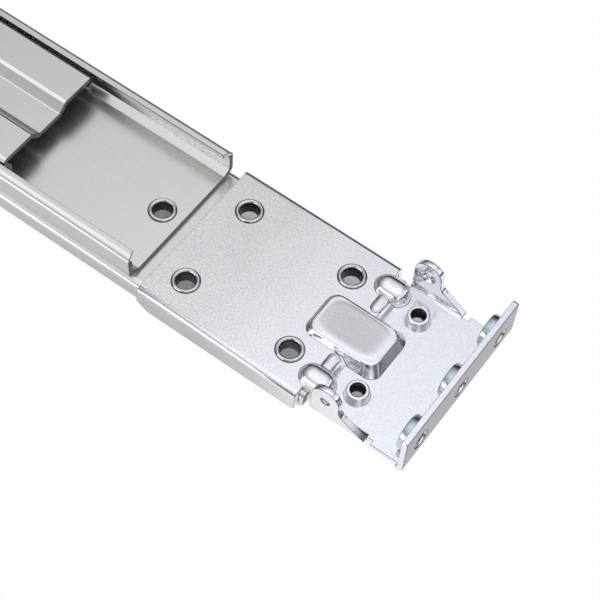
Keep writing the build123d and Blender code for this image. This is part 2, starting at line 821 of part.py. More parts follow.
def main():
    """Build every node and write it."""
    os.makedirs("parts", exist_ok=True)
    write("outer_rail", outer_rail())
    write("base_channel", base_channel())
    write("rear_bracket", rear_bracket())
    write("front_bracket", front_bracket())
    write("server_rail", server_rail())
    write("bracket_eyelets", [eyelet(x, y, tail_top, 0) for x, y in bracket_eyelet_points])
    write("rail_eyelets", [eyelet(x, eyelet_offset, outer_web_top, 0) for x in rail_eyelet_x])
    write("rear_flange_nuts", clinch_nuts(0, 1, post_hole_height))
    write("front_flange_nuts", clinch_nuts(front_face_x, -1, front_plate_top - post_hole_height))
    write("slot_rivets", [slot_rivet(x) for x in slot_rivet_x])
    write("slot_washers", [slot_washer(x) for x in slot_rivet_x])
    for name, side in (("near", -1), ("far", 1)):
        write("ball_cage_" + name, ball_cage(side))
        balls = [Pos(x, side * ball_y, ball_z) * Sphere(ball_radius) for x in ball_x]
        write("balls_" + name, balls)
    write("cage_stop_rivets", [stop_rivet(x, side, 0) for x in stop_rivet_x for side in (-1, 1)])
    write("closing_buffer", closing_buffer())
    write("release_lever", release_lever())
    write("lever_rivet", lever_rivet())
    write("lever_spring", lever_spring())


main()
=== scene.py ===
import logging
import math
from dataclasses import dataclass
from enum import Enum

import bmesh
import bpy
from mathutils import Matrix, Vector


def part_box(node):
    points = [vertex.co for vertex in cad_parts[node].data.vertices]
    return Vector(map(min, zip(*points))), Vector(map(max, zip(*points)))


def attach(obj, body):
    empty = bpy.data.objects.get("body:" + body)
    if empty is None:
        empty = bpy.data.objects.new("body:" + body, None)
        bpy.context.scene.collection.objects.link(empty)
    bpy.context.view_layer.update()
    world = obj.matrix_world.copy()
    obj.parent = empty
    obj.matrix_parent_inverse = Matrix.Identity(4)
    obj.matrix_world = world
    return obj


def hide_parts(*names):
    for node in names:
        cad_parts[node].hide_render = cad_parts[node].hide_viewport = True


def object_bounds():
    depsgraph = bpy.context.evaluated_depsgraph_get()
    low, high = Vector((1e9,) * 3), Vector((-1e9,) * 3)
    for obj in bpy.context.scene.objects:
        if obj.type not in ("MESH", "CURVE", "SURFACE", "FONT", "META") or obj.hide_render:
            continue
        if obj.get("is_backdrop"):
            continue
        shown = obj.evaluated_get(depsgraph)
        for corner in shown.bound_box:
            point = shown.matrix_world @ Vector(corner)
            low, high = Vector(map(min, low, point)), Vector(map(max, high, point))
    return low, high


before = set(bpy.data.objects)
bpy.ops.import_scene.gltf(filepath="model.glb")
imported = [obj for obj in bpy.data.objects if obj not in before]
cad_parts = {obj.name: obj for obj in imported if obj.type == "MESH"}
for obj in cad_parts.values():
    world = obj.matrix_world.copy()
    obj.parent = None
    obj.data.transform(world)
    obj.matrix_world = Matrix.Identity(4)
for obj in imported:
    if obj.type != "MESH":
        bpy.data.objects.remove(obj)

# Looks of one rail of a sliding server rail pair, lying on its back with its open side up.
# Lengths are in metres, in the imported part's frame: X along the rail, out of the end flange,
# Y across it, and Z out of its open side. The origin is the flange's middle hole.

MM = 0.001
MERGE_REACH = 1e-6
WHITE = (1.0, 1.0, 1.0, 1.0)
log = logging.getLogger("server_rail")

Socket = bpy.types.NodeSocket
Tree = bpy.types.NodeTree
Colour = tuple[float, float, float, float]
Pair = tuple[float, float]
Point = tuple[float, float, float]


class Slot(Enum):
    """The record's material slots whose finish more than one piece can share."""

    PLATE = "zinc_plate"
    FASTENER = "plated_steel"
    BALL = "bearing_steel"
    CAGE = "cage_steel"
    NYLON = "nylon"
    LEVER = "lever_plastic"


class Extra(Enum):
    """Finishes that some pieces or faces of a slot have instead of its main one.

    They are the painted shade in bores and the painted shadow ring round each eyelet's rim, the sheets' dark
    sheared edges, which are partly painted shade, and the nuts.
    """

    BORE = "bore"
    EDGE = "edge"
    NUT = "nut"


Finishes = dict[Slot | Extra, bpy.types.Material]


def linear(code: str) -> Colour:
    """Turn an sRGB hex code into linear colour.

    Args:
        code: Six hex digits, such as "DCDEE4".

    Returns:
        Linear red, green and blue, and an alpha of 1.
    """
    values = [int(code[i : i + 2], 16) / 255 for i in (0, 2, 4)]
    out = [v / 12.92 if v <= 0.04045 else ((v + 0.055) / 1.055) ** 2.4 for v in values]
    return out[0], out[1], out[2], 1.0


def per_metre(size_mm: float) -> float:
    """Give the texture scale whose features are this many millimetres wide.

    Args:
        size_mm: Width of one feature of the pattern.

    Returns:
        The scale for Object coordinates in metres.
    """
    return 1000.0 / size_mm


def add_node(tree: Tree, kind: str, **given: object) -> bpy.types.Node:
    """Add one node with its settings and links.

    Args:
        tree: The node tree that gets it.
        kind: The node's type, such as "ShaderNodeTexNoise".
        **given: Its settings by name, and its inputs by name with underscores for spaces.
            An input given a socket is linked to it, and any other value is set on it.

    Returns:
        The new node.
    """
    node = tree.nodes.new(kind)
    inputs = {socket.identifier.replace(" ", "_"): socket for socket in node.inputs}
    inputs.update({socket.name.replace(" ", "_"): socket for socket in reversed(node.inputs)})
    for name, value in given.items():
        if name in inputs and isinstance(value, bpy.types.NodeSocket):
            tree.links.new(value, inputs[name])
        elif name in inputs:
            inputs[name].default_value = value
        else:
            setattr(node, name, value)
    return node


def object_place(tree: Tree) -> Socket:
    """Add Object coordinates to a node tree and give their socket."""
    return add_node(tree, "ShaderNodeTexCoord").outputs["Object"]


def noise(tree: Tree, place: Socket, size_mm: float, detail: float) -> Socket:
    """Add a cloudy pattern.

    Args:
        tree: The node tree that gets it.
        place: Object coordinates.
        size_mm: Width of its features in millimetres.
        detail: Number of finer layers in it.

    Returns:
        Its value at each point, from 0 to 1.
    """
    pattern = add_node(tree, "ShaderNodeTexNoise", Vector=place, Scale=per_metre(size_mm), Detail=detail)
    return pattern.outputs[0]


def calculate(tree: Tree, operation: str, *values: Socket | float) -> Socket:
    """Add one step of arithmetic.

    Args:
        tree: The node tree that gets it.
        operation: The step's name, such as "MULTIPLY".
        *values: One, two or three values that it works on.

    Returns:
        Its result.
    """
    names = ("Value", "Value_001", "Value_002")
    step = add_node(tree, "ShaderNodeMath", operation=operation, **dict(zip(names, values)))
    return step.outputs[0]


def calculate_vector(tree: Tree, operation: str, first: Socket, second: Socket | Point) -> bpy.types.Node:
    """Add one step of arithmetic on two vectors and give its node."""
    return add_node(tree, "ShaderNodeVectorMath", operation=operation, Vector=first, Vector_001=second)


def remap(tree: Tree, value: Socket, source: Pair, target: Pair = (0.0, 1.0), way: str = "LINEAR") -> Socket:
    """Stretch one range of a value onto another, and hold it at the ends.

    Args:
        tree: The node tree that gets the node.
        value: The value.
        source: The range that it comes from.
        target: The range that it goes to.
        way: Blender's name of the curve between the ends.

    Returns:
        The new value.
    """
    step = add_node(
        tree,
        "ShaderNodeMapRange",
        interpolation_type=way,
        Value=value,
        From_Min=source[0],
        From_Max=source[1],
        To_Min=target[0],
        To_Max=target[1],
    )
    return step.outputs[0]


def blend(tree: Tree, share: Socket, first: Socket | Colour, second: Socket | Colour, way: str) -> Socket:
    """Mix a second colour into a first one.

    Args:
        tree: The node tree that gets the node.
        share: How much of the second colour goes in.
        first: The first colour.
        second: The second colour.
        way: How they mix: "MIX" puts the second in place of the first, "MULTIPLY" filters it.

    Returns:
        The mixed colour.
    """
    mix = add_node(
        tree,
        "ShaderNodeMix",
        data_type="RGBA",
        blend_type=way,
        Factor_Float=share,
        A_Color=first,
        B_Color=second,
    )
    return mix.outputs[2]


def two_tones(tree: Tree, value: Socket, ends: Pair, low: str, high: str) -> Socket:
    """Colour a value from one tone to another.

    Args:
        tree: The node tree that gets the node.
        value: The value.
        ends: Where it has reached the low tone, and the high one.
        low: Hex code of the tone below.
        high: Hex code of the tone above.

    Returns:
        The colour.
    """
    scale = add_node(tree, "ShaderNodeValToRGB", Fac=value)
    for element, position, code in zip(scale.color_ramp.elements, ends, (low, high)):
        element.position = position
        element.color = linear(code)
    return scale.outputs[0]


def blank_material(name: str) -> tuple[bpy.types.Material, Tree]:
    """Make a material with no nodes.

    Args:
        name: The material's name.

    Returns:
        The material and its empty node tree.
    """
    material = bpy.data.materials.new(name)
    material.use_nodes = True
    material.node_tree.nodes.clear()
    return material, material.node_tree


def close_material(
    tree: Tree, colour: Socket, gloss: Socket, height: Socket, strength: float, depth: float, **given: float
) -> None:
    """Add a material's relief, its shader and its output.

    Args:
        tree: The node tree that gets them.
        colour: Base colour.
        gloss: Roughness.
        height: Height of the relief.
        strength: Share of the relief that shows.
        depth: Metres that a height of 1 stands for.
        **given: More of the shader's inputs by name.
    """
    relief = add_node(tree, "ShaderNodeBump", Height=height, Strength=strength, Distance=depth)
    shader = add_node(
        tree,
        "ShaderNodeBsdfPrincipled",
        Base_Color=colour,
        Roughness=gloss,
        Normal=relief.outputs[0],
        **given,
    )
    add_node(tree, "ShaderNodeOutputMaterial", Surface=shader.outputs[0])


@dataclass(frozen=True)
class GalvanisedStrip:
    """Hot-dip galvanised steel strip, skin-passed between smooth rolls and roll formed.

    The zinc is bright and smooth, so it mirrors the room in long streaks, and the rolls leave
    faint lines along the strip. Its flat web wore against the rolls and is duller than its sides.
    The sheared ends are uncoated steel and are painted dark, partly for that and partly as
    painted shade for the shadow gaps at the ends.
    """

    name: str = "galvanised_strip_skin_passed"
    bright: str = "EAEAE7"
    dull: str = "E4E4E2"
    tone_ends: Pair = (0.14, 0.36)
    line_width_mm: float = 0.5
    line_length_mm: float = 60.0
    line_detail: float = 3.0
    line_breaks: float = 0.6
    grain_mm: float = 0.4
    grain_detail: float = 2.0
    smooth: float = 0.17
    rough: float = 0.19
    gloss_ends: Pair = (0.3, 0.7)
    web_mm: Pair = (-3.3, -2.8)
    web_rougher: float = 0.1
    line_depth_mm: float = 0.0006
    relief: float = 0.05
    cut_ends: tuple[float, ...] = ()
    cut_depth_mm: float = 0.09
    bare_steel_and_shade: str = "5C5D5C"

    def material(self) -> bpy.types.Material:
        """Build the material.

        Returns:
            The finished material.
        """
        material, tree = blank_material(self.name)
        place = object_place(tree)
        across = per_metre(self.line_width_mm)
        stretch = (per_metre(self.line_length_mm), across, across)
        drawn = add_node(tree, "ShaderNodeMapping", Vector=place, Scale=stretch)
        pattern = add_node(
            tree,
            "ShaderNodeTexNoise",
            Vector=drawn.outputs[0],
            Scale=1.0,
            Detail=self.line_detail,
            Roughness=self.line_breaks,
        )
        lines = pattern.outputs[0]
        both = calculate(tree, "MULTIPLY", lines, noise(tree, place, self.grain_mm, self.grain_detail))
        coat = two_tones(tree, both, self.tone_ends, self.dull, self.bright)
        parts = add_node(tree, "ShaderNodeSeparateXYZ", Vector=place)
        # Painted dark at each cut end: partly the uncoated steel, partly painted shade for the shadow gaps
        # there.
        for end in self.cut_ends:
            sheared = calculate(tree, "COMPARE", parts.outputs["X"], end, self.cut_depth_mm * MM)
            coat = blend(tree, sheared, coat, linear(self.bare_steel_and_shade), "MIX")
        gloss = remap(tree, lines, self.gloss_ends, (self.smooth, self.rough))
        web_ends = (self.web_mm[0] * MM, self.web_mm[1] * MM)
        web = remap(tree, parts.outputs["Z"], web_ends, (self.web_rougher, 0.0))
        gloss = calculate(tree, "ADD", gloss, web)
        close_material(tree, coat, gloss, lines, self.relief, self.line_depth_mm * MM, Metallic=1.0)
        return material


@dataclass(frozen=True)
class Mound:
    """One shallow swelling or dish that the press left, oblong with rounded corners.

    Lengths are in millimetres. `flat` is the share of it that stays flat in the middle.
    """

    x: float
    y: float
    half_x: float
    half_y: float
    rise: float
    flat: float = 0.0

    def spread(self, tree: Tree, place: Socket, top: float) -> Socket:
        """Give a value that falls from the mound's middle to its rim.

        The fourth powers of the distances give its outline rounded corners.

        Args:
            tree: The node tree that gets the nodes.
            place: Object coordinates.
            top: The value in the middle.

        Returns:
            The value at each point, and 0 outside the mound.
        """
        middle = (self.x * MM, self.y * MM, 0.0)
        stretch = (1 / (self.half_x * MM), 1 / (self.half_y * MM), 0.0)
        moved = calculate_vector(tree, "SUBTRACT", place, middle).outputs[0]
        scaled = calculate_vector(tree, "MULTIPLY", moved, stretch).outputs[0]
        squares = calculate_vector(tree, "MULTIPLY", scaled, scaled).outputs[0]
        fourth_powers = calculate_vector(tree, "DOT_PRODUCT", squares, squares).outputs["Value"]
        return remap(tree, fourth_powers, (self.flat, 1.0), (top, 0.0), "SMOOTHSTEP")


@dataclass(frozen=True)
class MatteZincPlate:
    """Cold-rolled steel, stamped and electroplated with matte zinc.

    The plating is a fine crystalline grain with slow clouds from the bath, so it is pale and
    its mirror images are soft. The wrapped tail is warmer and shows its grain, and the end
    plate is cool and even. The raised pad is painted a little darker, as painted shade for the
    darker room that its dished top mirrors, and the outer face of the flange is painted dark,
    as painted shade for the shadowed floor that it mirrors.
    """

    name: str = "matte_zinc_plate_stamped"
    pale: str = "FFFFFF"
    grey: str = "E2E3E8"
    tone_ends: Pair = (0.36, 0.62)
    grain_mm: float = 0.45
    grain_detail: float = 3.0
    cloud_mm: float = 9.0
    cloud_detail: float = 2.0
    grain_share: float = 0.85
    smooth: float = 0.13
    rough: float = 0.17
    gloss_ends: Pair = (0.35, 0.65)
    grain_depth_mm: float = 0.003
    tail: str = "F1F0ED"
    end: str = "EEF0F5"
    tail_mm: Pair = (-58.0, -20.0)
    end_grain_share: float = 0.42
    pad: Mound = Mound(-27.5, -1.5, 8.3, 5.2, 0.2, flat=0.1)
    other_mounds: tuple[Mound, ...] = (
        Mound(-27.5, -1.5, 7.6, 4.7, -0.1),
        Mound(-27.2, 13.5, 4.2, 3.0, 0.16),
        Mound(-27.2, -15.9, 4.2, 3.0, 0.16),
    )
    painted_pad_shade: str = "DCDBD9"
    painted_flange_shade: str = "747678"
    shaded_face_depth_mm: float = 0.25

    def material(self) -> bpy.types.Material:
        """Build the material.

        Returns:
            The finished material.
        """
        material, tree = blank_material(self.name)
        place = object_place(tree)
        parts = add_node(tree, "ShaderNodeSeparateXYZ", Vector=place)
        grain = noise(tree, place, self.grain_mm, self.grain_detail)
        clouds = noise(tree, place, self.cloud_mm, self.cloud_detail)
        patch = add_node(
            tree,
            "ShaderNodeMix",
            data_type="FLOAT",
            Factor_Float=self.grain_share,
            A_Float=clouds,
            B_Float=grain,
        )
        patches = two_tones(tree, patch.outputs[0], self.tone_ends, self.grey, self.pale)
        tail_ends = (self.tail_mm[0] * MM, self.tail_mm[1] * MM)
        toward_tail = remap(tree, parts.outputs["X"], tail_ends, (1.0, 0.0))
        aged = blend(tree, toward_tail, patches, linear(self.tail), "MULTIPLY")
        even = blend(tree, toward_tail, linear(self.end), WHITE, "MIX")
        grain_seen = remap(tree, toward_tail, (0.0, 1.0), (self.end_grain_share, 1.0))
        coat = blend(tree, grain_seen, even, aged, "MIX")
        # Painted shade: the raised pad is painted a little darker for the darker room that its dished top
        # mirrors.
        coat = blend(tree, self.pad.spread(tree, place, 1.0), coat, linear(self.painted_pad_shade), "MULTIPLY")
        # Painted shade: the flange's outer face, this deep from the X origin, is painted dark for the
        # shadowed floor it mirrors.
        seat = remap(tree, parts.outputs["X"], (-self.shaded_face_depth_mm * MM, 0.0))
        coat = blend(tree, seat, coat, linear(self.painted_flange_shade), "MULTIPLY")
        gloss = remap(tree, clouds, self.gloss_ends, (self.smooth, self.rough))
        height = calculate(tree, "MULTIPLY", grain, self.grain_depth_mm * MM)
        for mound in (self.pad, *self.other_mounds):
            height = calculate(tree, "ADD", height, mound.spread(tree, place, mound.rise * MM))
        close_material(tree, coat, gloss, height, strength=1.0, depth=1.0, Metallic=1.0)
        return material


@dataclass(frozen=True)
class BrightMetal:
    """A turned, rolled, ground or sheared metal face, plated or left bright.

    Handling and tumbling leave a light, even scatter of fine marks, so its mirror images are
    a little broken.
    """

    name: str
    light: str
    dark: str
    smooth: float
    rough: float
    tone_ends: Pair = (0.35, 0.6)
    gloss_ends: Pair = (0.3, 0.7)
    mark_mm: float = 0.5
    mark_detail: float = 4.0
    mark_depth_mm: float = 0.004
    relief: float = 0.3

    def material(self) -> bpy.types.Material:
        """Build the material.

        Returns:
            The finished material.
        """
        material, tree = blank_material(self.name)
        marks = noise(tree, object_place(tree), self.mark_mm, self.mark_detail)
        colour = two_tones(tree, marks, self.tone_ends, self.dark, self.light)
        gloss = remap(tree, marks, self.gloss_ends, (self.smooth, self.rough))
        close_material(tree, colour, gloss, marks, self.relief, self.mark_depth_mm * MM, Metallic=1.0)
        return material


@dataclass(frozen=True)
class MouldedPlastic:
    """Injection-moulded engineering plastic with a finely spark-eroded mould surface.

    The surface is satin, with a fine even texture and hardly any change of colour.
    """

    name: str
    light: str
    dark: str
    smooth: float
    rough: float
    tone_ends: Pair = (0.0, 1.0)
    gloss_ends: Pair = (0.3, 0.7)
    texture_mm: float = 0.35
    texture_detail: float = 2.0
    texture_depth_mm: float = 0.02
    relief: float = 0.4
    refraction: float = 1.48

    def material(self) -> bpy.types.Material:
        """Build the material.

        Returns:
            The finished material.
        """
        material, tree = blank_material(self.name)
        texture = noise(tree, object_place(tree), self.texture_mm, self.texture_detail)
        colour = two_tones(tree, texture, self.tone_ends, self.dark, self.light)
        gloss = remap(tree, texture, self.gloss_ends, (self.smooth, self.rough))
        depth = self.texture_depth_mm * MM
        close_material(tree, colour, gloss, texture, self.relief, depth, IOR=self.refraction)
        return material


def make_finishes() -> Finishes:
    """Build every finish that pieces share. A strip gets one of its own, for its cut ends.

    Returns:
        The material of each shared slot and of each extra finish.
    """
    fastener = BrightMetal("nickel_plated_steel_rolled", "E2E1DF", "CFCFCE", 0.13, 0.24)
    ball = BrightMetal("chrome_steel_ground", "E6E6E8", "DADBDD", 0.05, 0.1, mark_depth_mm=0.001)
    cage = BrightMetal("spring_strip_bright_rolled", "C4C6C8", "B2B4B6", 0.2, 0.3)
    # Painted shade: the bores' dark finish stands for the shade inside them.
    bore = BrightMetal("bore_steel_thinly_plated", "5A5C5E", "3A3C3E", 0.34, 0.46)
    nut = BrightMetal("blue_zinc_plated_steel_turned", "D3E0E8", "B4C4CE", 0.16, 0.26)
    # Painted shade in part: the edges' dark finish stands for the dark outlines along sheet edges.
    edge = BrightMetal("steel_edge_sheared_thinly_plated", "626466", "46484A", 0.3, 0.4)
    nylon = MouldedPlastic("nylon_moulded_natural", "EDEADF", "E2DFD3", 0.42, 0.55)
    lever = MouldedPlastic("acetal_moulded_black", "1B1B1D", "121214", 0.35, 0.48)
    return {
        Slot.PLATE: MatteZincPlate().material(),
        Slot.FASTENER: fastener.material(),
        Slot.BALL: ball.material(),
        Slot.CAGE: cage.material(),
        Slot.NYLON: nylon.material(),
        Slot.LEVER: lever.material(),
        Extra.BORE: bore.material(),
        Extra.EDGE: edge.material(),
        Extra.NUT: nut.material(),
    }


def dress_node(node: str, material: bpy.types.Material) -> bpy.types.Object:
    """Give a carried-over CAD node its finish.

    Args:
        node: The node's name.
        material: Its finish.

    Returns:
        The node's piece.
    """
    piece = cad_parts[node]
    for place in piece.material_slots:
        place.material = material
    log.info("%s: %s", node, material.name)
    return piece


@dataclass(frozen=True)
class SheetEdges:
    """Fine worn rounds on a sheet's sheared edges.

    Faces that lie in one plane are joined first, so that the rounds run on without a break.
    The rounds are darker than the metal: partly the sheared steel's own tone, partly painted
    shade for the dark outlines of the edges.
    """

    width_mm: float
    steps: int = 2
    flat_deg: float = 0.5
    bend_deg: float = 38.0

    def wear(self, piece: bpy.types.Object, material: bpy.types.Material) -> None:
        """Put the rounds on a piece.

        Args:
            piece: The piece.
            material: Finish of the rounds, darker than the metal, partly as painted shade.
        """
        piece.data.materials.append(material)
        weld = piece.modifiers.new("weld", "WELD")
        weld.merge_threshold = MERGE_REACH
        flats = piece.modifiers.new("flats", "DECIMATE")
        flats.decimate_type = "DISSOLVE"
        flats.angle_limit = math.radians(self.flat_deg)
        bevel = piece.modifiers.new("edge", "BEVEL")
        bevel.offset_type = "WIDTH"
        bevel.width = self.width_mm * MM
        bevel.segments = self.steps
        bevel.limit_method = "ANGLE"
        bevel.angle_limit = math.radians(self.bend_deg)
        bevel.harden_normals = True
        bevel.use_clamp_overlap = False
        bevel.loop_slide = False
        bevel.material = len(piece.data.materials) - 1


def turned(profile: list[Pair], segments: int) -> bmesh.types.BMesh:
    """Turn a closed profile once round the Z axis.

    Args:
        profile: Radius and level of each corner, in millimetres, in order round the section.
        segments: Steps of the turn.

    Returns:
        The closed ring, about the origin.
    """
    form = bmesh.new()
    corners = [form.verts.new((radius * MM, 0, level * MM)) for radius, level in profile]
    sides = [form.edges.new(pair) for pair in zip(corners, corners[1:] + corners[:1])]
    bmesh.ops.spin(
        form,
        geom=corners + sides,
        cent=(0, 0, 0),
        axis=(0, 0, 1),
        angle=2 * math.pi,
        steps=segments,
        use_merge=True,
    )
    bmesh.ops.remove_doubles(form, verts=form.verts, dist=MERGE_REACH)
    bmesh.ops.recalc_face_normals(form, faces=form.faces)
    return form


def arc(centre: Pair, radii: Pair, start_deg: float, end_deg: float, steps: int) -> list[Pair]:
    """Give points along part of an ellipse, in a profile.

    Args:
        centre: Radius and level of the ellipse's centre.
        radii: Half its width and half its height.
        start_deg: Angle of the first point, from the outward direction.
        end_deg: Angle of the last point.
        steps: Number of steps between them.

    Returns:
        The points, both ends included.
    """
    angles = [math.radians(start_deg + (end_deg - start_deg) * i / steps) for i in range(steps + 1)]
    return [(centre[0] + radii[0] * math.cos(a), centre[1] + radii[1] * math.sin(a)) for a in angles]


def levels(low: float, high: float, step: float) -> list[float]:
    """Divide a length into equal steps.

    Args:
        low: First level.
        high: Last level.
        step: Longest step allowed.

    Returns:
        The levels, both ends included.
    """
    count = max(1, math.ceil(abs(high - low) / step))
    return [low + (high - low) * i / count for i in range(count + 1)]


def cut_thread(form: bmesh.types.BMesh, bore: float, depth: float, pitch: float, span: Pair) -> None:
    """Cut a helical thread into a bore by moving its wall outwards.

    The groove's half is a share of the pitch. It is cut a little past its depth and then
    held there, so that its root is a narrow flat.

    Args:
        form: The turned ring, about the Z axis.
        bore: Radius of its bore in millimetres.
        depth: Depth of the thread.
        pitch: Rise of one turn.
        span: Levels between which the thread runs.
    """
    low, high = span
    wall_reach = depth / 4
    half_groove = 0.44
    overcut = 1.15
    for vert in form.verts:
        level = vert.co.z / MM
        radius = math.hypot(vert.co.x, vert.co.y) / MM
        if abs(radius - bore) > wall_reach or not low < level < high:
            continue
        phase = (level / pitch - math.atan2(vert.co.y, vert.co.x) / (2 * math.pi)) % 1.0
        groove = max(0.0, 1.0 - abs(phase - 0.5) / half_groove)
        scale = (bore + depth * min(1.0, overcut * groove)) / radius
        vert.co.x *= scale
        vert.co.y *= scale


def gather(name: str, form: bmesh.types.BMesh, places: list[Matrix], sharp_deg: float) -> bpy.types.Object:
    """Make one piece of a form that is repeated at several places.

    Args:
        name: The piece's name.
        form: The form, about the origin. It is freed.
        places: Where each copy goes.
        sharp_deg: Edges bent more than this stay sharp.

    Returns:
        The piece, with its object at the origin.
    """
    single = bpy.data.meshes.new(name + "_single")
    form.to_mesh(single)
    form.free()
    whole = bmesh.new()
    for place in places:
        start = len(whole.verts)
        whole.from_mesh(single)
        whole.verts.ensure_lookup_table()
        bmesh.ops.transform(whole, matrix=place, verts=whole.verts[start:])
    bpy.data.meshes.remove(single)
    bmesh.ops.recalc_face_normals(whole, faces=whole.faces)
    mesh = bpy.data.meshes.new(name)
    whole.to_mesh(mesh)
    whole.free()
    mesh.shade_smooth()
    mesh.set_sharp_from_angle(angle=math.radians(sharp_deg))
    piece = bpy.data.objects.new(name, mesh)
    bpy.context.scene.collection.objects.link(piece)
    return piece


def darken_bores(piece: bpy.types.Object, material: bpy.types.Material, radius: float, axis: str) -> None:
    """Give the faces that look at a bore's own axis the bore's dark finish, painted shade for the bore's
    inside.

    Args:
        piece: A piece of one or more rings.
        material: The finish of its bores.
        radius: Faces whose centre is nearer than this to a ring's axis are in its bore, in millimetres.
        axis: Axis of the rings, X or Z.
    """
    mesh = piece.data
    mesh.materials.append(material)
    form = bmesh.new()
    form.from_mesh(mesh)
    left = set(form.verts)
    while left:
        island = {left.pop()}
        edge = list(island)
        while edge:
            near = {e.other_vert(v) for v in edge for e in v.link_edges} - island
            island |= near
            edge = list(near)
        left -= island
        middle = sum((v.co for v in island), Vector()) / len(island)
        for face in {f for v in island for f in v.link_faces}:
            offset = face.calc_center_median() - middle
            setattr(offset, axis.lower(), 0.0)
            across = face.normal.copy()
            setattr(across, axis.lower(), 0.0)
            if offset.length < radius * MM and across.dot(offset) < 0:
                face.material_index = len(mesh.materials) - 1
    form.to_mesh(mesh)
    form.free()


def hand_over(
    piece: bpy.types.Object, body: str, material: bpy.types.Material, nodes: tuple[str, ...] = ()
) -> None:
    """Dress a new piece and say what it rides on and what it stands for.

    Args:
        piece: The new piece.
        body: The body that carries it.
        material: Its finish.
        nodes: The CAD nodes that it stands for.
    """
    piece.data.materials.clear()
    piece.data.materials.append(material)
    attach(piece, body)
    for node in nodes:
        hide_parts(node)
    log.info("%s: %d faces, %s, rides on %s", piece.name, len(piece.data.polygons), material.name, body)


@dataclass
class Channels:
    """The roll-formed strips: outer rail, base channel and sliding rail."""

    nodes: tuple[str, ...] = ("outer_rail", "base_channel", "server_rail")
    edges: SheetEdges = SheetEdges(width_mm=0.18)

    def dress(self, finishes: Finishes) -> None:
        """Give the strips their finish, each with ends painted dark where its own were cut, partly as
        painted shade.

        Args:
            finishes: The shared materials.
        """
        for node in self.nodes:
            low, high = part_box(node)
            strip = GalvanisedStrip(name=f"{GalvanisedStrip.name}_{node}", cut_ends=(low[0], high[0]))
            self.edges.wear(dress_node(node, strip.material()), finishes[Extra.EDGE])


@dataclass
class Brackets:
    """The stamped brackets at both ends."""

    nodes: tuple[str, ...] = ("rear_bracket", "front_bracket")
    edges: SheetEdges = SheetEdges(width_mm=0.13)

    def dress(self, finishes: Finishes) -> None:
        """Give the brackets their finish.

        Args:
            finishes: The shared materials.
        """
        for node in self.nodes:
            self.edges.wear(dress_node(node, finishes[Slot.PLATE]), finishes[Extra.EDGE])


@dataclass
class Eyelets:
    """Hollow rivets with a rolled rim, a flared throat and a rolled foot. Sizes are in millimetres."""

    rim: float = 3.3
    crest: float = 2.88
    rise: float = 0.56
    bore: float = 2.2
    throat: float = 0.62
    lip_gap: float = 0.13
    # The shadow ring is a thin flat ring on the sheet round the rim, painted dark as the shadow under the
    # rim's edge.
    shadow_ring_width: float = 0.2
    shadow_ring_height: float = 0.02
    body: float = 2.7
    foot: float = 3.3
    foot_rise: float = 0.5
    under: float = -6.2
    segments: int = 72
    rim_steps: int = 10
    flare_steps: int = 14
    roll_steps: int = 6
    sharp_deg: float = 50.0
    dark_beyond_bore: float = 0.1
    bracket_seat: float = -3.2
    bracket_x: tuple[float, ...] = (-36.5, -65.9)
    bracket_y: tuple[float, ...] = (10.6, -13.6)
    rail_seat: float = -3.5
    rail_x: tuple[float, ...] = (-82.3, -232.3, -382.3)
    rail_y: float = -1.5

    def form(self, seat: float) -> bmesh.types.BMesh:
        """Turn one eyelet.

        Args:
            seat: Level of the sheet under its rim.

        Returns:
            The eyelet, about the Z axis.
        """
        end = self.under - self.foot_rise
        roll = self.foot_rise / 2
        lip = seat + self.lip_gap
        # The profile starts with the flat shadow ring, which gets the painted shadow.
        mark = self.rim + self.shadow_ring_width
        profile = [(mark, seat), (mark - self.shadow_ring_height, seat + self.shadow_ring_height)]
        profile += [(self.rim - self.lip_gap, seat + self.shadow_ring_height)]
        round_rim = (self.rim - self.crest, self.rise - self.lip_gap)
        profile += arc((self.crest, lip), round_rim, 0, 90, self.rim_steps)
        flare = (self.crest - self.bore, self.rise + self.throat)
        profile += arc((self.crest, seat - self.throat), flare, 90, 180, self.flare_steps)[1:]
        profile += arc((self.bore + roll, end + roll), (roll, roll), 180, 270, self.roll_steps)
        profile += arc((self.foot - roll, end + roll), (roll, roll), 270, 360, self.roll_steps)
        profile += [(self.foot, self.under), (self.body, self.under), (self.body, seat)]
        return turned(profile, self.segments)

    def paint_rim_shadow(self, piece: bpy.types.Object, seat: float) -> None:
        """Paint the thin ring round each rim with the bore's dark finish, as painted shadow under the rim.

        Args:
            piece: A group of eyelets.
            seat: Level of the sheet under their rims.
        """
        for face in piece.data.polygons:
            if abs(face.center.z / MM - seat - self.shadow_ring_height / 2) < self.shadow_ring_height:
                face.material_index = len(piece.data.materials) - 1

    def make(self, finishes: Finishes) -> None:
        """Build both groups of eyelets.

        Args:
            finishes: The shared materials.
        """
        bracket = [Matrix.Translation((x * MM, y * MM, 0)) for x in self.bracket_x for y in self.bracket_y]
        rail = [Matrix.Translation((x * MM, self.rail_y * MM, 0)) for x in self.rail_x]
        groups = (
            ("bracket_eyelet_set", "bracket_eyelets", self.bracket_seat, bracket),
            ("rail_eyelet_set", "rail_eyelets", self.rail_seat, rail),
        )
        for name, node, seat, places in groups:
            piece = gather(name, self.form(seat), places, self.sharp_deg)
            hand_over(piece, "cabinet_side", finishes[Slot.FASTENER], (node,))
            darken_bores(piece, finishes[Extra.BORE], self.bore + self.dark_beyond_bore, "Z")
            self.paint_rim_shadow(piece, seat)


